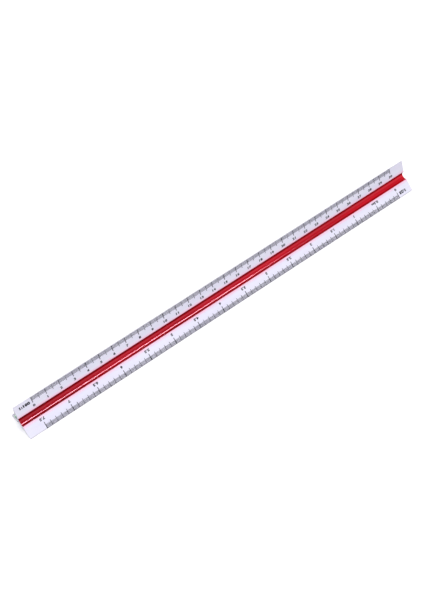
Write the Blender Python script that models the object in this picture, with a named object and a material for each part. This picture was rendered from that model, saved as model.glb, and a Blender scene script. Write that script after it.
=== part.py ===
"""Triangular scale ruler: a solid three-lobed bar with a coloured strip in each of its three hollows.

Units are metres and +Z is up. The bar lies on one of its three faces, on the edges of its two lower
lobes. X runs along it from its left end to its right end, and the origin is the middle of its
footprint on the table. The printed scales are a film of ink, so they aren't solids here.
"""

import math

import bmesh
import bpy

# Overall size
GRADUATED_LENGTH = 0.300
END_MARGIN = 0.0125  # blank, at each end
LENGTH = GRADUATED_LENGTH + 2 * END_MARGIN
FACE_WIDTH = 0.024  # over the two edges of one face, which is also the footprint's width

# Cross-section of the bar. A face's chord plane touches both of its edges.
EDGE_RADIUS = 0.00035  # rounding of each lobe's outer edge
HOLLOW_DEPTH = 0.0023  # from the chord plane down to the centre of the hollow's circle
SCALE_LINE_OFFSET = 0.00295  # from a face's middle to the scale face's line, at that depth

# Coloured strips, each lining one hollow
STRIP_OUTER_RADIUS = 0.00305
STRIP_THICKNESS = 0.00025
STRIP_EDGE_DROP = 0.00015  # how far the strip's two edges sit below the hollow's centre
SEAT_GAP = 0.0003  # between a strip and its seat in the bar, where the bond line is

# Each face: the way it looks, in degrees in the YZ plane from +Y towards +Z, and its strip's colour
FACES = {
    "front": (150.0, "red"),
    "back": (30.0, "green"),
    "underside": (270.0, "blue"),
}

# How finely the arcs are divided
EDGE_STEPS = 8
HOLLOW_STEPS = 24

# Mesh clean-up
WELD_DISTANCE = 1e-6
SHARP_ANGLE = math.radians(30)  # edges that turn by more than this are shaded sharp

MATERIALS = {  # linear base colour and roughness
    "white_plastic": ((0.77, 0.756, 0.893), 0.36),
    "red_plastic": ((0.50, 0.004, 0.013), 0.16),
    "green_plastic": ((0.010, 0.30, 0.085), 0.16),
    "blue_plastic": ((0.010, 0.10, 0.52), 0.16),
}

# Worked out from the driving dimensions. Heights are out from the bar's axis.
HALF_CORNER = math.radians(60)  # from a lobe's direction to that of either of its faces
EDGE_CENTRE_ALONG = FACE_WIDTH / 2 - EDGE_RADIUS  # from a face's middle to its edge's centre
EDGE_CENTRE_OUT = EDGE_CENTRE_ALONG / math.sin(HALF_CORNER)  # from the axis
CHORD_HEIGHT = EDGE_CENTRE_OUT * math.cos(HALF_CORNER) + EDGE_RADIUS
HOLLOW_HEIGHT = CHORD_HEIGHT - HOLLOW_DEPTH
SEAT_RADIUS = STRIP_OUTER_RADIUS + SEAT_GAP


def clear_scene():
    for obj in list(bpy.data.objects):
        bpy.data.objects.remove(obj, do_unlink=True)


def make_collection(name):
    collection = bpy.data.collections.new(name)
    bpy.context.scene.collection.children.link(collection)
    return collection


def make_material(name):
    colour, roughness = MATERIALS[name]
    material = bpy.data.materials.new(name)
    material.use_nodes = True
    shader = material.node_tree.nodes["Principled BSDF"]
    shader.inputs["Base Color"].default_value = (*colour, 1.0)
    shader.inputs["Roughness"].default_value = roughness
    shader.inputs["Metallic"].default_value = 0.0
    material.diffuse_color = (*colour, 1.0)
    return material


def scale_face_tilt():
    """Angle from the chord plane to a flat scale face, whose line touches the edge's circle."""
    along = EDGE_CENTRE_ALONG - SCALE_LINE_OFFSET
    rise = HOLLOW_DEPTH - EDGE_RADIUS
    return math.atan2(rise, along) + math.asin(EDGE_RADIUS / math.hypot(along, rise))


def seat_lip_angle(tilt):
    """Angle above the seat's centre at which its circle runs out into the flat scale face."""
    centre_to_line = SCALE_LINE_OFFSET * math.sin(tilt)
    return tilt - math.asin(centre_to_line / SEAT_RADIUS)


def on_face(face_angle, along, height):
    """A point along a face, clockwise from its middle, and out from the axis, as (y, z)."""
    outward = math.radians(face_angle)
    return (
        height * math.cos(outward) + along * math.sin(outward),
        height * math.sin(outward) - along * math.cos(outward),
    )


def hollow_arc(face_angle, radius, start, end):
    """An arc about the hollow's centre. Angles run from the clockwise side towards outward."""
    points = []
    for i in range(HOLLOW_STEPS + 1):
        angle = start + (end - start) * i / HOLLOW_STEPS
        along = radius * math.cos(angle)
        height = HOLLOW_HEIGHT + radius * math.sin(angle)
        points.append(on_face(face_angle, along, height))
    return points


def lobe_edge(face_angle, tilt):
    """The rounded edge, from this face's scale face round to the next one anticlockwise."""
    outward = math.radians(face_angle) + HALF_CORNER
    # the even steps run between the two chord planes; the end points touch the scale faces
    even_turns = [HALF_CORNER * (2 * i / EDGE_STEPS - 1) for i in range(EDGE_STEPS + 1)]
    points = []
    for turn in [-HALF_CORNER - tilt, *even_turns, HALF_CORNER + tilt]:
        angle = outward + turn
        points.append(
            (
                EDGE_CENTRE_OUT * math.cos(outward) + EDGE_RADIUS * math.cos(angle),
                EDGE_CENTRE_OUT * math.sin(outward) + EDGE_RADIUS * math.sin(angle),
            )
        )
    return points


def bar_outline():
    """The bar's section, anticlockwise: each face's hollow, then the edge shared with the next."""
    tilt = scale_face_tilt()
    lip = seat_lip_angle(tilt)
    points = []
    for face_angle in sorted(angle for angle, _ in FACES.values()):
        points += hollow_arc(face_angle, SEAT_RADIUS, start=lip, end=-math.pi - lip)
        points += lobe_edge(face_angle, tilt)
    return points


def strip_outline(face_angle):
    """A strip's section: a C whose back follows the hollow, with two flat-ended edges."""
    inner_radius = STRIP_OUTER_RADIUS - STRIP_THICKNESS
    outer_drop = math.asin(STRIP_EDGE_DROP / STRIP_OUTER_RADIUS)
    inner_drop = math.asin(STRIP_EDGE_DROP / inner_radius)
    return [
        *hollow_arc(face_angle, STRIP_OUTER_RADIUS, start=-outer_drop, end=outer_drop - math.pi),
        *hollow_arc(face_angle, inner_radius, start=inner_drop - math.pi, end=-inner_drop),
    ]


def clean_mesh(mesh):
    """Weld the caps to the sides, so that the piece is a closed solid, and face it outwards."""
    work = bmesh.new()
    work.from_mesh(mesh)
    bmesh.ops.remove_doubles(work, verts=work.verts, dist=WELD_DISTANCE)
    bmesh.ops.recalc_face_normals(work, faces=work.faces)
    work.to_mesh(mesh)
    work.free()
    mesh.shade_smooth()
    mesh.set_sharp_from_angle(angle=SHARP_ANGLE)


def extrude_outline(name, outline, material, collection, axis):
    """A closed YZ outline, filled and extruded along X to the bar's length, as a mesh object."""
    curve = bpy.data.curves.new(name + "_outline", "CURVE")
    curve.dimensions = "2D"
    curve.fill_mode = "BOTH"
    curve.extrude = LENGTH / 2  # to each side of the outline
    spline = curve.splines.new("POLY")
    spline.points.add(len(outline) - 1)
    for point, (y, z) in zip(spline.points, outline):
        point.co = (y, z, 0.0, 1.0)
    spline.use_cyclic_u = True
    guide = bpy.data.objects.new(name + "_outline", curve)
    # the outline's own x, y and z become the bar's Y, Z and X
    guide.rotation_euler = (math.pi / 2, 0.0, math.pi / 2)
    collection.objects.link(guide)
    bpy.context.view_layer.update()

    graph = bpy.context.evaluated_depsgraph_get()
    mesh = bpy.data.meshes.new_from_object(guide.evaluated_get(graph))
    mesh.name = name
    piece = bpy.data.objects.new(name, mesh)
    piece.matrix_world = guide.matrix_world.copy()
    bpy.data.objects.remove(guide, do_unlink=True)
    bpy.data.curves.remove(curve)

    clean_mesh(mesh)
    mesh.materials.clear()
    mesh.materials.append(material)
    collection.objects.link(piece)
    piece.parent = axis  # with no inverse, so the piece is lifted to the axis


def make_axis(collection):
    """The empty that carries the pieces, placed so that the lower chord plane is the table."""
    axis = bpy.data.objects.new("bar_axis", None)
    axis.empty_display_size = 0.02
    axis.location = (0.0, 0.0, CHORD_HEIGHT)
    collection.objects.link(axis)
    return axis


def build():
    clear_scene()
    ruler = make_collection("triangular_scale_ruler")
    axis = make_axis(ruler)
    white = make_material("white_plastic")
    extrude_outline("ruler_body", bar_outline(), white, ruler, axis)
    for face_angle, colour in FACES.values():
        plastic = make_material(colour + "_plastic")
        outline = strip_outline(face_angle)
        extrude_outline(colour + "_groove_strip", outline, plastic, ruler, axis)


build()
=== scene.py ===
"""A triangular scale ruler: white body, a glossy coloured strip in each hollow, and six printed scales.

The frame is the CAD's: metres, +Z up, X along the ruler, origin in the middle of its footprint.
Sections are worked out in millimetres and scaled to metres when a mesh is made.
"""

import math
import random
from functools import cache

import bmesh
import bpy
import numpy as np
from mathutils import Matrix, Vector
from mathutils.geometry import delaunay_2d_cdt

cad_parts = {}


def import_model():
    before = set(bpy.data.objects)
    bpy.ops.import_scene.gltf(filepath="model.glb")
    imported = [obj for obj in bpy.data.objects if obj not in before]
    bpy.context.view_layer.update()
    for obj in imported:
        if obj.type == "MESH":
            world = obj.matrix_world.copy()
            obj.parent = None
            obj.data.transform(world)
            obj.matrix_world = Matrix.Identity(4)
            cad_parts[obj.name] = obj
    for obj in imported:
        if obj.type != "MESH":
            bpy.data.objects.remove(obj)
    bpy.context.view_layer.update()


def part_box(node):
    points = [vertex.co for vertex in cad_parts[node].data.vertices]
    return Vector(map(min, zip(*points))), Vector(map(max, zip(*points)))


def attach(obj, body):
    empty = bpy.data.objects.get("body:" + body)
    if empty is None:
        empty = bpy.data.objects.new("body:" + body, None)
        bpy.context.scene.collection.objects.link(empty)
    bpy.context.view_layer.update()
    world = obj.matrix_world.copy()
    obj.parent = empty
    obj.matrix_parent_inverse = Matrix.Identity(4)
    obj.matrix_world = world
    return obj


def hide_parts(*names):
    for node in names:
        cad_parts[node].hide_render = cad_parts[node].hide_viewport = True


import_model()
random.seed(25)

MM = 0.001

# ---------------------------------------------------------------- sizes, in mm
body_low, body_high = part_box("ruler_body")
HALF_LENGTH = (body_high.x - body_low.x) / 2 / MM
FACE_WIDTH = (body_high.y - body_low.y) / MM
SCALE_LENGTH = 300.0
EDGE_R = 0.35  # rounding of the three outer edges
HOLLOW_DEPTH = 2.3  # from the face's chord down to the centre of the hollow's arc
HOLLOW_LIP = 2.95  # half the hollow's width at that centre's level, before rounding
STRIP_R, STRIP_THICK, STRIP_DROP = 3.05, 0.25, 0.15
STRIP_CORNER_R = 0.07
SEAT_R = STRIP_R + 0.03
LIP_R = 0.13
BODY_INSET, STRIP_INSET = 0.08, 0.05  # rounding of the pieces' ends
STRIP_SHORT = 0.02  # how far each end of a strip stays inside the body's

ARC_STEPS, LIP_STEPS, CORNER_STEPS, END_STEPS = 40, 7, 5, 3
RING_SPACING = 5.0
END_RING = 0.25  # from an end's rounding to the next ring, which keeps the shading straight
SHARP_ANGLE = math.radians(42)

EDGE_OUT = (FACE_WIDTH / 2 - EDGE_R) / math.cos(math.radians(30))  # axis to an edge's centre
CHORD = EDGE_OUT * math.sin(math.radians(30)) + EDGE_R  # axis to a face's chord
HOLLOW_H = CHORD - HOLLOW_DEPTH
AXIS_Z = body_low.z / MM + CHORD

# A face's section is given as (u along the face, h out from the axis); each face is symmetric in u.
EDGE_CENTRE = (FACE_WIDTH / 2 - EDGE_R, CHORD - EDGE_R)
edge_run, edge_rise = FACE_WIDTH / 2 - EDGE_R - HOLLOW_LIP, CHORD - EDGE_R - HOLLOW_H
TILT = math.atan2(edge_rise, edge_run) + math.asin(EDGE_R / math.hypot(edge_run, edge_rise))
NORMAL = (-math.sin(TILT), math.cos(TILT))  # of the scale flat on the u > 0 side

# centre of the lip's rounding, and its angle seen from the hollow's centre
lip_reach = SEAT_R + LIP_R
LIP_ANGLE = TILT - math.asin((HOLLOW_LIP * math.sin(TILT) + LIP_R) / lip_reach)
LIP_CENTRE = (lip_reach * math.cos(LIP_ANGLE), HOLLOW_H + lip_reach * math.sin(LIP_ANGLE))

# the flat's two ends
FLAT_OUTER = tuple(c + EDGE_R * n for c, n in zip(EDGE_CENTRE, NORMAL))
FLAT_INNER = tuple(c + LIP_R * n for c, n in zip(LIP_CENTRE, NORMAL))
FLAT = math.hypot(FLAT_OUTER[0] - FLAT_INNER[0], FLAT_OUTER[1] - FLAT_INNER[1])

FACES = {"front": 150.0, "back": 30.0, "under": 270.0}  # direction of each face about the axis


# ---------------------------------------------------------------- sections
def on_face(face_angle, u, h):
    """(u, h) on a face -> (y, z) in the frame, both in mm."""
    angle = math.radians(face_angle)
    return (
        h * math.cos(angle) + u * math.sin(angle),
        AXIS_Z + h * math.sin(angle) - u * math.cos(angle),
    )


def around(centre, radius, angle):
    return (centre[0] + radius * math.cos(angle), centre[1] + radius * math.sin(angle))


def mirrored(points):
    """The same line on the u < 0 side, run the other way."""
    return [(-u, h) for u, h in reversed(points)]


def hollow_arc(radius, start):
    """Points inside the arc from start on the u > 0 side, under the hollow's centre, to its mirror."""
    sweep = math.pi + 2 * start
    return [
        around((0, HOLLOW_H), radius, start - sweep * i / ARC_STEPS) for i in range(1, ARC_STEPS)
    ]


def body_outline():
    """The bar's section, anticlockwise: scale flats, rounded lips, hollows and rounded edges."""
    # along a flat, close together at both ends so that the shading stays flat between them
    steps = [0.06, 0.3] + [FLAT * i / 8 for i in range(1, 8)] + [FLAT - 0.3, FLAT - 0.06]
    wall = [
        tuple(outer + (inner - outer) * (step / FLAT) for outer, inner in zip(FLAT_OUTER, FLAT_INNER))
        for step in steps
    ]
    # the lip turns from the flat's normal down into the hollow
    first, last = TILT + math.pi / 2, LIP_ANGLE + math.pi
    for i in range(LIP_STEPS + 1):
        wall.append(around(LIP_CENTRE, LIP_R, first + (last - first) * i / LIP_STEPS))
    profile = wall + hollow_arc(SEAT_R, LIP_ANGLE) + mirrored(wall)

    end_turn = 60 + math.degrees(TILT)
    turns = [-end_turn] + [-60 + 10 * i for i in range(13)] + [end_turn]
    points = []
    for face_angle in sorted(FACES.values()):
        points += [on_face(face_angle, u, h) for u, h in profile]
        # the outer edge shared with the next face
        out = math.radians(face_angle + 60)
        centre = around((0, AXIS_Z), EDGE_OUT, out)
        points += [around(centre, EDGE_R, out + math.radians(turn)) for turn in turns]
    return points


def strip_outline(face_angle):
    """A strip's section, anticlockwise: two arcs about the hollow's centre, with rounded rims."""
    outer, inner = STRIP_R, STRIP_R - STRIP_THICK
    level = -STRIP_DROP - STRIP_CORNER_R  # of the corners' centres, from the hollow's centre
    rim = []
    for radius, start in ((outer - STRIP_CORNER_R, 0), (inner + STRIP_CORNER_R, 90)):
        centre = around((0, 0), radius, math.asin(level / radius))
        for i in range(CORNER_STEPS + 1):
            u, rise = around(centre, STRIP_CORNER_R, math.radians(start + 90 * i / CORNER_STEPS))
            rim.append((u, HOLLOW_H + rise))
    inner_arc = hollow_arc(inner, math.asin(level / inner))
    outer_arc = hollow_arc(outer, math.asin(level / outer))[::-1]
    return [on_face(face_angle, u, h) for u, h in rim + inner_arc + mirrored(rim) + outer_arc]


# ---------------------------------------------------------------- meshes
def add_object(name, data):
    made = bpy.data.objects.new(name, data)
    bpy.context.scene.collection.objects.link(made)
    return made


def turn_of(points, a, b, c):
    """Twice a triangle's area: above zero when it runs anticlockwise."""
    (ax, ay), (bx, by), (cx, cy) = points[a], points[b], points[c]
    return (bx - ax) * (cy - ay) - (by - ay) * (cx - ax)


def fill(ring):
    """Anticlockwise triangles over a closed outline, as indices of its points."""
    corners = [Vector(point) for point in ring]
    _, _, faces, origin, _, _ = delaunay_2d_cdt(corners, [], [list(range(len(ring)))], 1, 1e-7)
    made = []
    for face in faces:
        a, b, c = (origin[i][0] for i in face)
        made.append((a, b, c) if turn_of(ring, a, b, c) > 0 else (a, c, b))
    return made


def outward(edges):
    edges = edges / np.linalg.norm(edges, axis=1)[:, None]
    return np.stack([edges[:, 1], -edges[:, 0]], 1)


def corner_normals(ring):
    """Steps that move every side of the ring out by 1; sharp corners are held to 1.5."""
    normals = outward(np.roll(ring, -1, 0) - ring) + outward(ring - np.roll(ring, 1, 0))
    normals /= np.maximum(np.linalg.norm(normals, axis=1), 1e-9)[:, None] ** 2
    normals *= 2
    normals /= np.maximum(1, np.linalg.norm(normals, axis=1) / 1.5)[:, None]
    return normals


def loft_stations(half, inset):
    """(x, how far the outline is drawn in) from end to end."""
    ends = []
    for i in range(END_STEPS + 1):
        angle = math.pi / 2 * i / END_STEPS
        ends.append((inset * (1 - math.cos(angle)), inset * (1 - math.sin(angle))))
    count = int(round(2 * half / RING_SPACING))
    return (
        [(-half + x, shrink) for x, shrink in ends]
        + [(-half + inset + END_RING, 0.0)]
        + [(-half + 2 * half * i / count, 0.0) for i in range(1, count)]
        + [(half - inset - END_RING, 0.0)]
        + [(half - x, shrink) for x, shrink in reversed(ends)]
    )


def loft(name, outline, half, inset, materials):
    """The outline drawn along X as one closed mesh with rounded ends; the last material caps it."""
    ring = np.array(outline)
    normals = corner_normals(ring)
    stations = loft_stations(half, inset)
    build = bmesh.new()
    rings = []
    for x, shrink in stations:
        section = ring - normals * shrink
        rings.append([build.verts.new((x * MM, y * MM, z * MM)) for y, z in section])
    for here, ahead in zip(rings, rings[1:]):
        for j in range(len(ring)):
            k = (j + 1) % len(ring)
            build.faces.new((here[j], here[k], ahead[k], ahead[j])).smooth = True
    start, stop = rings[0], rings[-1]
    for a, b, c in fill((ring - normals * stations[0][1]).tolist()):
        for corners in ((start[c], start[b], start[a]), (stop[a], stop[b], stop[c])):
            build.faces.new(corners).material_index = len(materials) - 1
    bmesh.ops.recalc_face_normals(build, faces=build.faces)
    mesh = bpy.data.meshes.new(name)
    build.to_mesh(mesh)
    build.free()
    for material in materials:
        mesh.materials.append(material)
    mesh.set_sharp_from_angle(angle=SHARP_ANGLE)
    return add_object(name, mesh)


# ---------------------------------------------------------------- node helpers
class Nodes:
    """A short way to write the node tree of a material or world."""

    def __init__(self, owner):
        owner.use_nodes = True
        self.tree = owner.node_tree

    def new(self, kind, **settings):
        node = self.tree.nodes.new(kind)
        for key, value in settings.items():
            setattr(node, key, value)
        return node

    def put(self, socket, value):
        """Link a socket to another, or set its value; three numbers make an opaque colour."""
        if isinstance(value, bpy.types.NodeSocket):
            self.tree.links.new(value, socket)
        elif isinstance(value, tuple) and len(value) == 3 and socket.type == "RGBA":
            socket.default_value = (*value, 1.0)
        else:
            socket.default_value = value

    def ramp(self, value, over, to=(0.0, 1.0), smooth=True):
        """Map the range `over` to the range `to`."""
        node = self.new("ShaderNodeMapRange")
        node.interpolation_type = "SMOOTHSTEP" if smooth else "LINEAR"
        self.put(node.inputs["Value"], value)
        for key, limits in (("From", over), ("To", to)):
            node.inputs[key + " Min"].default_value = limits[0]
            node.inputs[key + " Max"].default_value = limits[1]
        return node.outputs["Result"]


class MaterialNodes(Nodes):
    """Noise and colour in object space; noise scales are per metre along X, Y and Z."""

    def __init__(self, name):
        self.material = bpy.data.materials.new(name)
        super().__init__(self.material)
        self.place = self.new("ShaderNodeTexCoord").outputs["Object"]

    def noise(self, scale, detail=3.0, rough=0.5, distortion=0.0, rotation=(0, 0, 0)):
        node = self.new("ShaderNodeTexNoise")
        mapping = self.new("ShaderNodeMapping")
        self.put(mapping.inputs["Vector"], self.place)
        mapping.inputs["Scale"].default_value = scale
        mapping.inputs["Rotation"].default_value = rotation
        self.put(node.inputs["Vector"], mapping.outputs["Vector"])
        node.inputs["Scale"].default_value = 1.0
        node.inputs["Detail"].default_value = detail
        node.inputs["Roughness"].default_value = rough
        node.inputs["Distortion"].default_value = distortion
        return node.outputs["Fac"]

    def maths(self, operation, first, second=0.0):
        node = self.new("ShaderNodeMath", operation=operation)
        self.put(node.inputs[0], first)
        self.put(node.inputs[1], second)
        return node.outputs[0]

    def mix(self, share, first, second):
        node = self.new("ShaderNodeMix", data_type="RGBA")
        self.put(node.inputs["Factor"], share)
        colours = [socket for socket in node.inputs if socket.type == "RGBA"]
        self.put(colours[0], first)
        self.put(colours[1], second)
        return [socket for socket in node.outputs if socket.type == "RGBA"][0]

    def specks(self, base, scale, over, share, colour):
        """Small spots of a colour where a fine noise peaks."""
        spots = self.noise((scale,) * 3, detail=2.0)
        return self.mix(self.ramp(spots, over=over, to=(0.0, share)), base, colour)

    def bump(self, height, distance, strength, after=None):
        node = self.new("ShaderNodeBump")
        node.inputs["Strength"].default_value = strength
        node.inputs["Distance"].default_value = distance
        self.put(node.inputs["Height"], height)
        if after is not None:
            self.put(node.inputs["Normal"], after)
        return node.outputs["Normal"]

    def xyz(self):
        node = self.new("ShaderNodeSeparateXYZ")
        self.put(node.inputs["Vector"], self.place)
        return node.outputs

    def from_axis(self):
        """Distance from the bar's axis, in mm."""
        place = self.xyz()
        z = self.maths("SUBTRACT", place["Z"], AXIS_Z * MM)
        y_square = self.maths("MULTIPLY", place["Y"], place["Y"])
        square = self.maths("ADD", y_square, self.maths("MULTIPLY", z, z))
        return self.maths("MULTIPLY", self.maths("SQRT", square), 1000.0)

    def finish(self, **values):
        """Set the shader's inputs, named with _ for spaces, and give the material."""
        shader = self.tree.nodes["Principled BSDF"]
        for key, value in values.items():
            self.put(shader.inputs[key.replace("_", " ")], value)
        return self.material


# ---------------------------------------------------------------- materials
def shade(colour, share):
    return tuple(c * share for c in colour)


def white_plastic():
    """Satin white styrene, cool in tint: faint flow clouds, fine draw lines, outer edges greyer in
    patches.
    """
    nodes = MaterialNodes("white_plastic")
    clouds = nodes.noise((22, 160, 160), detail=4.0, rough=0.55)
    streaks = nodes.noise((12, 2600, 2600), rough=0.6)
    clouds = nodes.ramp(clouds, over=(0.3, 0.7))
    base = nodes.mix(clouds, (0.750, 0.735, 0.880), (0.800, 0.786, 0.908))
    share = nodes.ramp(streaks, over=(0.25, 0.8), to=(0.0, 0.22))
    base = nodes.mix(share, base, (0.70, 0.682, 0.835))
    # the outer edges are a little greyer, in patches
    out = nodes.from_axis()
    edge = nodes.ramp(out, over=(13.05, 13.7))
    patches = nodes.noise((160, 500, 500), detail=5.0, rough=0.6)
    edge_grey = nodes.maths("MULTIPLY", edge, nodes.ramp(patches, over=(0.25, 0.7), to=(0.35, 1.0)))
    base = nodes.mix(edge_grey, base, (0.60, 0.585, 0.66))
    # dust and tiny moulding marks
    base = nodes.specks(base, scale=1500, over=(0.77, 0.83), share=0.35, colour=(0.42, 0.40, 0.44))
    # painted colour bounce: each strip's colour is painted into the white next to its hollow, standing
    # in for coloured light reflected off the strip
    place = nodes.xyz()
    painted_bounce_reach = nodes.ramp(out, over=(5.6, 7.7), to=(1.0, 0.0))
    patches = nodes.noise((60, 300, 300), detail=2.0)
    painted_bounce_reach = nodes.maths("MULTIPLY", painted_bounce_reach, nodes.ramp(patches, over=(0.3, 0.7), to=(0.8, 1.0)))
    levels = ((AXIS_Z - 2.2) * MM, (AXIS_Z - 1.6) * MM)
    under = nodes.ramp(place["Z"], over=levels, to=(1.0, 0.0))
    back = nodes.ramp(place["Y"], over=(-0.0001, 0.0001))
    painted_colour_bounce = nodes.mix(back, (1.0, 0.50, 0.68), (0.58, 0.90, 0.68))
    painted_colour_bounce = nodes.mix(under, painted_colour_bounce, (0.56, 0.67, 0.99))
    falloff, strength = 1.3, 0.8
    share = nodes.maths("MULTIPLY", nodes.maths("POWER", painted_bounce_reach, falloff), strength)
    # the painted colour bounce is mixed into the base colour here
    base = nodes.mix(share, base, painted_colour_bounce)
    smudge = nodes.noise((45, 240, 240), detail=5.0, rough=0.62, distortion=0.6)
    rough = nodes.ramp(smudge, over=(0.3, 0.75), to=(0.32, 0.48))
    rough = nodes.maths("ADD", rough, nodes.ramp(streaks, over=(0.3, 0.8), to=(-0.02, 0.06)))
    normal = nodes.bump(streaks, distance=0.000006, strength=0.6)
    grain = nodes.noise((900,) * 3)
    normal = nodes.bump(grain, distance=0.000004, strength=0.5, after=normal)
    return nodes.finish(
        Base_Color=base,
        Roughness=rough,
        Normal=normal,
        IOR=1.5,
        Specular_IOR_Level=0.3,
        Subsurface_Weight=0.12,
        Subsurface_Radius=(0.0011, 0.0009, 0.0010),
        Subsurface_Scale=1.0,
    )


def cut_plastic():
    """The bar's sawn ends: stress-whitened, with the blade's fine parallel scratches."""
    nodes = MaterialNodes("white_plastic_cut")
    tilt = (math.radians(24), 0, 0)
    marks = nodes.noise((40, 420, 5200), detail=4.0, rough=0.65, rotation=tilt)
    bands = nodes.noise((40, 150, 1500), detail=2.0, rotation=tilt)
    share = nodes.ramp(marks, over=(0.3, 0.75))
    base = nodes.mix(share, (0.86, 0.845, 0.93), (0.70, 0.685, 0.80))
    share = nodes.ramp(bands, over=(0.5, 0.8), to=(0.0, 0.3))
    base = nodes.mix(share, base, (0.92, 0.91, 0.95))
    normal = nodes.bump(marks, distance=0.00002, strength=0.8)
    rough = nodes.ramp(marks, over=(0.2, 0.8), to=(0.5, 0.72))
    return nodes.finish(Base_Color=base, Roughness=rough, Normal=normal)


def strip_plastic(name, face_angle, deep, bright, sheen):
    """Hard glossy plastic: hair-fine lines along it and slow waves in its surface.

    Its colour is painted brighter towards the +X end as painted light, and painted dark in the
    corners under the hollow's lips, most of all on a wall that overhangs, as painted shade.
    """
    nodes = MaterialNodes(name)
    place = nodes.xyz()
    angle = math.radians(face_angle)
    z = nodes.maths("SUBTRACT", place["Z"], AXIS_Z * MM)
    out = nodes.maths("MULTIPLY", z, math.sin(angle))
    out = nodes.maths("ADD", out, nodes.maths("MULTIPLY", place["Y"], math.cos(angle)))
    # painted shade: the colour darkens towards the lips, where the hollow's corners lie in shade
    levels = ((HOLLOW_H - 2.1) * MM, (HOLLOW_H - 1.0) * MM)
    painted_corner_shade = nodes.ramp(out, over=levels, to=(0.0, 0.40))
    if math.sin(angle) > 0:  # a hollow that looks up and sideways has its upper wall overhanging and in shade: painted shade there too
        centre = AXIS_Z + HOLLOW_H * math.sin(angle)
        levels = ((centre - 1.1) * MM, (centre - 0.1) * MM)
        painted_overhang_shade = nodes.ramp(place["Z"], over=levels, to=(0.0, 0.72))
        painted_corner_shade = nodes.maths("MAXIMUM", painted_corner_shade, painted_overhang_shade)
    # painted light: the colour brightens towards the +X end, standing in for stronger light falling
    # there
    along = nodes.ramp(place["X"], over=(-0.15, 0.15), smooth=False)
    lines = nodes.noise((7, 3800, 3800), rough=0.6)
    flow = nodes.noise((16, 420, 420))
    flow_share, painted_light_share = 0.4, 0.6
    flow = nodes.maths("MULTIPLY", nodes.ramp(flow, over=(0.3, 0.7)), flow_share)
    # the random flow tone plus the painted light along X
    flow = nodes.maths("ADD", flow, nodes.maths("MULTIPLY", along, painted_light_share))
    base = nodes.mix(flow, deep, bright)
    share = nodes.ramp(lines, over=(0.45, 0.85), to=(0.0, 0.35))
    base = nodes.mix(share, base, shade(deep, 0.62))
    # the painted shade is mixed into the base colour here
    base = nodes.mix(painted_corner_shade, base, shade(deep, 0.28))
    pale = tuple(min(1, c * 1.2 + 0.16) for c in bright)
    base = nodes.specks(base, scale=1300, over=(0.79, 0.84), share=0.45, colour=pale)
    rough = nodes.ramp(lines, over=(0.25, 0.8), to=(0.15, 0.21))
    smudge = nodes.noise((50, 260, 260), detail=4.0, rough=0.6)
    rough = nodes.maths("ADD", rough, nodes.ramp(smudge, over=(0.35, 0.75), to=(0.0, 0.05)))
    waves = nodes.noise((36, 150, 150), detail=1.0, rough=0.4)
    normal = nodes.bump(waves, distance=0.00009, strength=0.22)
    normal = nodes.bump(lines, distance=0.000008, strength=0.5, after=normal)
    return nodes.finish(
        Base_Color=base,
        Roughness=rough,
        Normal=normal,
        IOR=1.8,
        Specular_Tint=sheen,
        Coat_Weight=0.25,
        Coat_Roughness=0.08,
    )


def ink():
    """Dull black ink: uneven cover, a few pinholes and a slightly pebbled surface."""
    nodes = MaterialNodes("black_ink")
    cover = nodes.noise((900,) * 3, detail=4.0, rough=0.6)
    share = nodes.ramp(cover, over=(0.3, 0.75))
    base = nodes.mix(share, (0.010, 0.010, 0.018), (0.038, 0.037, 0.052))
    base = nodes.specks(base, scale=5200, over=(0.70, 0.78), share=0.5, colour=(0.24, 0.235, 0.28))
    pebbles = nodes.noise((6500,) * 3, detail=2.0)
    normal = nodes.bump(pebbles, distance=0.000004, strength=0.5)
    rough = nodes.ramp(cover, over=(0.25, 0.8), to=(0.45, 0.65))
    return nodes.finish(Base_Color=base, Roughness=rough, Normal=normal, Specular_IOR_Level=0.3)


def floor_paper():
    """Matt near-white studio paper with a barely visible tooth and a faint white glow."""
    nodes = MaterialNodes("pale_paper")
    tooth = nodes.noise((700,) * 3, detail=4.0, rough=0.6)
    drift = nodes.ramp(nodes.noise((3,) * 3, detail=2.0), over=(0.2, 0.8))
    base = nodes.mix(drift, (0.905,) * 3, (0.93,) * 3)
    base = nodes.mix(nodes.ramp(tooth, over=(0.3, 0.8), to=(0.0, 0.2)), base, (0.88,) * 3)
    normal = nodes.bump(tooth, distance=0.00003, strength=0.25)
    return nodes.finish(
        Base_Color=base,
        Roughness=0.85,
        Normal=normal,
        Specular_IOR_Level=0.1,
        Emission_Color=nodes.mix(1.0, base, (1.0, 1.0, 1.0)),
        Emission_Strength=0.18,
    )


# ---------------------------------------------------------------- body and strips
# colour, face, deep and bright colour of the plastic, tint of its reflections
STRIPS = (
    ("red", "front", (0.32, 0.0016, 0.0070), (0.76, 0.0065, 0.0190), (1.0, 0.42, 0.58, 1.0)),
    ("green", "back", (0.008, 0.22, 0.060), (0.014, 0.34, 0.10), (0.80, 1.0, 0.86, 1.0)),
    ("blue", "under", (0.008, 0.070, 0.40), (0.014, 0.12, 0.60), (0.78, 0.86, 1.0, 1.0)),
)


def make_piece(cad_name, outline, half, inset, materials):
    piece = loft(cad_name + "_finished", outline, half, inset, materials)
    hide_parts(cad_name)
    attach(piece, "root")
    return piece


def make_strip(colour, face, deep, bright, sheen):
    slot = colour + "_plastic"
    material = strip_plastic(slot, FACES[face], deep, bright, sheen)
    outline = strip_outline(FACES[face])
    half = HALF_LENGTH - STRIP_SHORT
    return make_piece(colour + "_groove_strip", outline, half, STRIP_INSET, (material,))


body_materials = (white_plastic(), cut_plastic())
make_piece(
    "ruler_body", body_outline(), HALF_LENGTH, BODY_INSET, body_materials
)
strips = [make_strip(*row) for row in STRIPS]

# ---------------------------------------------------------------- lettering
NUMERAL_WEIGHT, RATIO_WEIGHT = 0.056, 0.074  # growth of the outlines, in font units


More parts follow.
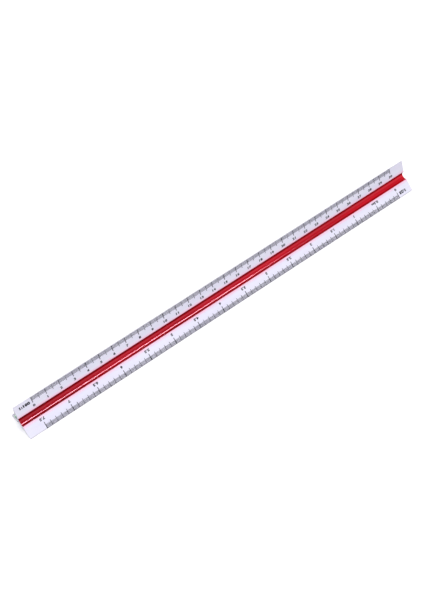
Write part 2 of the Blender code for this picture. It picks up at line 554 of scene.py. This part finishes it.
def text_outline(text):
    """Text in the built-in font, centred at x = 0 on the baseline: (points, triangles, rim)."""
    curve = bpy.data.curves.new("glyph", "FONT")
    curve.body = text
    curve.size = 1.0
    curve.align_x = "CENTER"
    curve.resolution_u = 4
    curve.space_character = 1.12
    holder = add_object("glyph", curve)
    bpy.context.view_layer.update()
    depsgraph = bpy.context.evaluated_depsgraph_get()
    mesh = bpy.data.meshes.new_from_object(holder.evaluated_get(depsgraph))
    bpy.data.objects.remove(holder)
    bpy.data.curves.remove(curve)
    build = bmesh.new()
    build.from_mesh(mesh)
    bpy.data.meshes.remove(mesh)
    bmesh.ops.remove_doubles(build, verts=build.verts, dist=1e-5)
    bmesh.ops.triangulate(build, faces=build.faces)
    for face in build.faces:
        if face.normal.z < 0:
            face.normal_flip()
    build.verts.index_update()
    points = [Vector(vert.co[:2]) for vert in build.verts]
    faces = [[vert.index for vert in face.verts] for face in build.faces if face.calc_area() > 1e-9]
    rim = [
        (loop.vert.index, loop.link_loop_next.vert.index)
        for edge in build.edges
        if len(edge.link_loops) == 1
        for loop in edge.link_loops
    ]
    build.free()
    return points, faces, rim


def thickened(points, faces, rim, weight):
    """Polygons whose union is the text grown by weight on every side, with rounded corners."""
    shapes = [[points[i] for i in face] for face in faces]
    offsets = {}  # at each rim point: the outward steps of the edges before and after it
    for i, j in rim:
        heading = (points[j] - points[i]).normalized()
        offset = Vector((heading.y, -heading.x)) * weight
        shapes.append([points[j], points[i], points[i] + offset, points[j] + offset])
        offsets.setdefault(i, [None, None])[1] = offset
        offsets.setdefault(j, [None, None])[0] = offset
    for i, (before, after) in offsets.items():
        if before is None or after is None:
            continue
        turn = math.atan2(before.x * after.y - before.y * after.x, before.dot(after))
        if turn > 1e-7:
            steps = max(1, math.ceil(turn / math.radians(24)))
            fan = [Matrix.Rotation(turn * k / steps, 2) @ before for k in range(steps + 1)]
            shapes.append([points[i]] + [points[i] + offset for offset in fan])
    return shapes


def triangulated(loops):
    """(points, triangles) of the plane cut along closed loops."""
    flat, edges = [], []
    for loop in loops:
        first, size = len(flat), len(loop)
        flat += loop
        edges += [(first + i, first + (i + 1) % size) for i in range(size)]
    points, _, faces, _, _, _ = delaunay_2d_cdt(flat, edges, [], 0, 1e-6)
    return points, faces


def open_edges(triangles):
    """Directed edges with no partner in a neighbouring triangle, sorted."""
    used = {(face[i], face[(i + 1) % 3]) for face in triangles for i in range(3)}
    return sorted(edge for edge in used if (edge[1], edge[0]) not in used)


def union_loops(shapes):
    """Outlines of the union of convex anticlockwise polygons, with its inside on the left."""
    slack = 1e-5  # leaves no hair-thin crack between two neighbours
    points, faces = triangulated(shapes)
    places = np.array([tuple(point) for point in points])
    middle = places[np.array(faces)].mean(1)
    inside = np.zeros(len(faces), bool)
    for shape in shapes:
        ring = np.array([tuple(point) for point in shape])
        side = np.roll(ring, -1, 0) - ring
        x, y = ring[:, 0], ring[:, 1]
        if np.sum(x * np.roll(y, -1) - np.roll(x, -1) * y) < 1e-8:
            continue
        to = middle[:, None] - ring[None]
        side = side / np.maximum(np.hypot(side[:, 0], side[:, 1]), 1e-12)[:, None]
        inside |= (side[None, :, 0] * to[..., 1] - side[None, :, 1] * to[..., 0] > -slack).all(1)
    kept = [
        face[::-1] if turn_of(places, *face) < 0 else face
        for face, keep in zip(faces, inside)
        if keep
    ]
    follow = {}
    for i, j in open_edges(kept):
        follow.setdefault(i, []).append(j)

    def heading(i, j):
        return math.atan2(points[j].y - points[i].y, points[j].x - points[i].x)

    loops = []
    while follow:
        start = min(follow, key=lambda i: (len(follow[i]), i))
        before, here, loop = None, start, []
        while here in follow:
            loop.append(points[here])
            options = follow[here]
            if before is None:
                ahead = options[0]
            else:
                back = heading(here, before)
                ahead = min(options, key=lambda i: (back - heading(here, i)) % (2 * math.pi))
            options.remove(ahead)
            if not options:
                del follow[here]
            before, here = here, ahead
            if here == start:
                break
        loops.append(loop)
    return loops


def simplified(loop, slack):
    """The loop without points that lie within slack of the line between their neighbours."""
    loop = list(loop)
    changed = True
    while changed and len(loop) > 8:
        changed = False
        i = 0
        while i < len(loop) and len(loop) > 8:
            before, point = loop[i - 1], loop[i]
            span = loop[(i + 1) % len(loop)] - before
            off = abs(span.x * (point.y - before.y) - span.y * (point.x - before.x))
            if off / max(span.length, 1e-9) < slack and span.length < 0.2:
                loop.pop(i)
                changed = True
            i += 1
    return loop


def pairs(loop):
    return zip(loop, loop[1:] + loop[:1])


def loop_area(loop):
    return sum(p.x * q.y - q.x * p.y for p, q in pairs(loop)) / 2


def is_inside(x, y, loops):
    crossings = 0
    for loop in loops:
        for p, q in pairs(loop):
            if (p.y > y) != (q.y > y) and x < p.x + (y - p.y) * (q.x - p.x) / (q.y - p.y):
                crossings += 1
    return crossings % 2 == 1


@cache
def glyphs(text, weight):
    """Thickened text, centred at x = 0 on the baseline: (points, triangles, directed rim edges)."""
    shapes = thickened(*text_outline(text), weight)
    loops = [simplified(loop, slack=0.0012) for loop in union_loops(shapes)]
    loops = [loop for loop in loops if abs(loop_area(loop)) > 3e-4]
    points, faces = triangulated(loops)
    points = np.array([tuple(point) for point in points])
    triangles = []
    for a, b, c in faces:
        x, y = points[[a, b, c]].mean(0)
        if is_inside(x, y, loops):
            triangles.append((a, b, c) if turn_of(points, a, b, c) > 0 else (a, c, b))
    return points, np.array(triangles), np.array(open_edges(triangles))


zero = glyphs("0", NUMERAL_WEIGHT)[0]
CAP = zero[:, 1].max() - zero[:, 1].min()

# ---------------------------------------------------------------- printed scales, in mm
INK_UP, INK_DOWN = 0.014, 0.010  # film above and below the plastic's surface
EDGE_LINE = 0.32  # from the edge's outermost line to where its flat begins, along the film
LONG_WIDTH = 0.47
MEDIUM_LENGTH, MEDIUM_WIDTH = 3.9, 0.36
NUMERAL_HEIGHT = 1.85
RATIO_HEIGHT, RATIO_STRETCH, RATIO_BASELINE = 2.1, 1.25, 4.0
RATIO_GAP = 1.95  # from the ratio's end to the zero line

# by the step between numerals: lengths of the long, second and fine lines, then the numerals'
# baseline and stretch
LAYOUTS = {
    1.0: (4.3, 2.88, 2.63, 7.35, 1.3),
    0.5: (4.65, 3.0, 2.75, 7.7, 1.2),
}

# ratio, face, side, then the steps of the fine, second, medium and long lines in metres of the
# real thing; every long line is numbered
SCALES = (
    (100, "front", 1, 0.05, 0.1, 0.5, 1.0),
    (25, "front", -1, 0.01, 0.02, 0.1, 0.5),
    (50, "back", 1, 0.02, 0.1, 0.5, 1.0),
    (20, "back", -1, 0.01, 0.05, 0.1, 0.5),
    (125, "under", 1, 0.05, 0.1, 0.5, 1.0),
    (75, "under", -1, 0.05, 0.1, 0.5, 1.0),
)


class Film:
    """The ink of one scale, gathered into one mesh.

    Flat points are (mm along the reading direction from the zero line, mm in from the edge).
    """

    def __init__(self, face, side):
        self.angle, self.side = FACES[face], side
        self.points, self.faces = [], []
        self.count = 0

    def place(self, flat, lift):
        """Flat points -> points in the frame, lifted off the plastic."""
        along = flat[:, 1] - EDGE_LINE
        inward = np.maximum(along, 0)
        # short of the flat, the film wraps over the rounded edge
        turn = math.pi / 2 + TILT - np.maximum(-along, 0) / EDGE_R
        u = EDGE_CENTRE[0] - inward * math.cos(TILT) + (EDGE_R + lift) * np.cos(turn)
        h = EDGE_CENTRE[1] - inward * math.sin(TILT) + (EDGE_R + lift) * np.sin(turn)
        x = (flat[:, 0] - SCALE_LENGTH / 2) * self.side
        y, z = on_face(self.angle, u * self.side, h)
        return np.stack((x, y, z), -1)

    def prism(self, flat, faces, rim):
        """A closed slab of ink over flat points."""
        self.points += [self.place(flat, INK_UP), self.place(flat, -INK_DOWN)]
        top, bottom = self.count, self.count + len(flat)
        self.faces += [[top + i for i in face] for face in faces]
        self.faces += [[bottom + i for i in reversed(tuple(face))] for face in faces]
        self.faces += [[top + i, bottom + i, bottom + j, top + j] for i, j in rim]
        self.count += 2 * len(flat)

    def tick(self, middle, length, width):
        """A line in from the edge, a little uneven in width, length, start and place."""
        width *= random.uniform(0.94, 1.06)
        length += random.uniform(-0.03, 0.03)
        start = random.uniform(0.02, 0.07)
        middle += random.uniform(-0.008, 0.008)
        sides = (middle - width / 2, middle + width / 2)
        rows = [
            length,
            EDGE_LINE,
            (EDGE_LINE * 2 + start) / 3,
            (EDGE_LINE + start * 2) / 3,
            start,
        ]
        flat = np.array([(x, row) for row in rows for x in sides])
        spans = range(0, 2 * len(rows) - 2, 2)
        faces = [(i, i + 1, i + 3, i + 2) for i in spans]
        last = 2 * len(rows) - 1
        rim = [(0, 1), (last, last - 1)]
        rim += [(i + 1, i + 3) for i in spans]
        rim += [(i + 2, i) for i in spans]
        self.prism(flat, faces, rim)

    def text(self, text, middle, baseline, height, stretch, weight):
        points, faces, rim = glyphs(text, weight)
        scale = height / CAP
        x = points[:, 0] * scale * stretch + middle
        self.prism(np.stack([x, baseline - points[:, 1] * scale], 1), faces, rim)

    def make(self, name, material):
        points = np.concatenate(self.points) * MM
        mesh = bpy.data.meshes.new(name)
        mesh.from_pydata(points.tolist(), [], [list(map(int, face)) for face in self.faces])
        mesh.validate()
        mesh.materials.append(material)
        return add_object(name, mesh)


def print_lines(film, per_metre, marks):
    """Lines at every fine step; marks holds (step, length, width), longest step first."""
    fine = marks[-1][0]

    def is_step(i, size):
        every = size / fine
        return abs(i / every - round(i / every)) < 1e-6

    for i in range(int(SCALE_LENGTH / per_metre / fine + 1e-6) + 1):
        length, width = next(mark[1:] for mark in marks if is_step(i, mark[0]))
        film.tick(i * fine * per_metre, length, width)


def print_scale(ratio, face, side, fine, second, medium, numbered, material):
    film = Film(face, side)
    per_metre = 1000 / ratio
    long_length, second_length, fine_length, baseline, stretch = LAYOUTS[numbered]
    thin = min(0.225, 0.48 * fine * per_metre)
    marks = (
        (numbered, long_length, LONG_WIDTH),
        (medium, MEDIUM_LENGTH, MEDIUM_WIDTH),
        (second, second_length, thin),
        (fine, fine_length, thin),
    )
    print_lines(film, per_metre, marks)
    for i in range(int(SCALE_LENGTH / per_metre / numbered + 1e-6) + 1):
        value = i * numbered
        text = f"{value:g}"
        if numbered == 0.5 and i == 1:
            text += "m"
        film.text(text, value * per_metre, baseline, NUMERAL_HEIGHT, stretch, NUMERAL_WEIGHT)
    title = f"1:{ratio}"
    x = glyphs(title, RATIO_WEIGHT)[0][:, 0]
    width = (x.max() - x.min()) * RATIO_HEIGHT / CAP * RATIO_STRETCH
    middle = -RATIO_GAP - width / 2
    film.text(title, middle, RATIO_BASELINE, RATIO_HEIGHT, RATIO_STRETCH, RATIO_WEIGHT)
    made = film.make(f"print_1_to_{ratio}", material)
    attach(made, "root")


black_ink = ink()
for row in SCALES:
    print_scale(*row, black_ink)


# ---------------------------------------------------------------- studio
# (degrees above the horizon, brightness) of the dome that lights, and of the one mirrors see
FILL = (
    (-90, 0.50), (-32, 0.46), (-16, 0.28), (0, 0.42),
    (14, 0.86), (32, 1.12), (60, 1.00), (90, 0.70),
)
MIRROR = ((-90, 0.01), (-14, 0.02), (-4, 0.60), (20, 0.60), (31, 0.03), (90, 0.01))


def area_light(name, location, target, size, radiance, glossy=False, diffuse=True):
    """A soft panel; radiance is the brightness of its mirror image before Fresnel."""
    data = bpy.data.lights.new(name, "AREA")
    data.shape = "RECTANGLE"
    data.size, data.size_y = size
    data.energy = radiance * math.pi * size[0] * size[1]
    made = add_object(name, data)
    made.location = location
    aim = Vector(target) - Vector(location)
    made.rotation_euler = aim.to_track_quat("-Z", "Y").to_euler()
    made.visible_camera = False
    made.visible_glossy = glossy
    made.visible_diffuse = diffuse
    return made


def floor():
    build = bmesh.new()
    bmesh.ops.create_grid(build, x_segments=4, y_segments=4, size=5.0)
    mesh = bpy.data.meshes.new("studio_floor")
    build.to_mesh(mesh)
    build.free()
    mesh.materials.append(floor_paper())
    made = add_object("studio_floor", mesh)
    made.location = (0, 0, -0.00002)
    made.visible_glossy = False
    made.visible_diffuse = False


def dome(nodes, rise, table, tint):
    """A background whose brightness follows the table by elevation."""
    share = nodes.ramp(rise, over=(-math.pi / 2, math.pi / 2), smooth=False)
    ramp = nodes.new("ShaderNodeValToRGB")
    nodes.put(ramp.inputs["Fac"], share)
    stops = ramp.color_ramp.elements
    while len(stops) < len(table):
        stops.new(1.0)
    for stop, (degrees, value) in zip(stops, table):
        stop.position = (degrees + 90) / 180
        stop.color = (*shade(tint, value), 1.0)
    light = nodes.new("ShaderNodeBackground")
    nodes.put(light.inputs["Color"], ramp.outputs["Color"])
    return light


def mix_shader(nodes, share, first, second):
    node = nodes.new("ShaderNodeMixShader")
    for i, socket in enumerate((share, first.outputs[0], second.outputs[0])):
        nodes.put(node.inputs[i], socket)
    return node


def world():
    """A white room for the camera and a soft dome for fill.

    Mirrors see a dark studio with a pale band at eye level, which fades towards +X and -X.
    """
    made = bpy.data.worlds.new("studio")
    bpy.context.scene.world = made
    nodes = Nodes(made)
    made.cycles.sampling_method = "NONE"
    split = nodes.new("ShaderNodeSeparateXYZ")
    direction = nodes.new("ShaderNodeTexCoord").outputs["Generated"]
    nodes.put(split.inputs["Vector"], direction)
    rise = nodes.new("ShaderNodeMath", operation="ARCSINE")
    nodes.put(rise.inputs[0], split.outputs["Z"])
    fill_dome = dome(nodes, rise.outputs[0], FILL, tint=(0.99, 0.99, 1.0))
    mirror_dome = dome(nodes, rise.outputs[0], MIRROR, tint=(0.95, 0.96, 1.0))
    white = nodes.tree.nodes["Background"]
    nodes.put(white.inputs["Color"], (1, 1, 1))
    nodes.put(white.inputs["Strength"], 0.98)
    ends = nodes.new("ShaderNodeMath", operation="ABSOLUTE")
    nodes.put(ends.inputs[0], split.outputs["X"])
    fade = nodes.ramp(ends.outputs[0], over=(0.78, 0.96), to=(1.0, 0.12), smooth=False)
    nodes.put(mirror_dome.inputs["Strength"], fade)
    path = nodes.new("ShaderNodeLightPath").outputs
    unseen = mix_shader(nodes, path["Is Glossy Ray"], fill_dome, mirror_dome)
    seen = mix_shader(nodes, path["Is Camera Ray"], unseen, white)
    nodes.put(nodes.tree.nodes["World Output"].inputs["Surface"], seen.outputs[0])


def camera():
    data = bpy.data.cameras.new("camera")
    data.lens = 60.3
    data.sensor_width = 36.0
    data.clip_start, data.clip_end = 0.02, 30.0
    made = add_object("camera", data)
    eye = Vector((-0.23698, -0.38814, 0.50905))
    aim = Vector((-0.01138, 0.00013, 0.00369))
    look = (aim - eye).to_track_quat("-Z", "Y").to_matrix()
    roll = Matrix.Rotation(math.radians(-9.33), 3, "Z")
    made.matrix_world = Matrix.Translation(eye) @ (look @ roll).to_4x4()
    bpy.context.scene.camera = made


def lights():
    panel_x, panel_y = -0.16, 0.0525
    panel = area_light(
        "overhead_panel",
        location=(panel_x, panel_y, 0.60),
        target=(panel_x, panel_y, 0.0),
        size=(0.89, 0.095),
        radiance=32.0,
        glossy=True,
        diffuse=False,
    )
    # the panel is there for the highlight in the glossy strips alone
    receivers = bpy.data.collections.new("lit_by_overhead_panel")
    for strip in strips:
        receivers.objects.link(strip)
    panel.light_linking.receiver_collection = receivers
    area_light(
        "front_key",
        location=(-0.06, -0.62, 0.52),
        target=(0, 0, 0.01),
        size=(0.5, 0.35),
        radiance=3.0,
    )
    for side, end in ((-1, "left"), (1, "right")):
        area_light(
            "end_fill_" + end,
            location=(side * 0.85, side * 0.2, 0.30),
            target=(side * 0.16, 0, 0.01),
            size=(0.4, 0.4),
            radiance=2.6,
        )


floor()
world()
camera()
lights()

bpy.context.scene.view_settings.view_transform = "Standard"
bpy.context.scene.view_settings.look = "None"
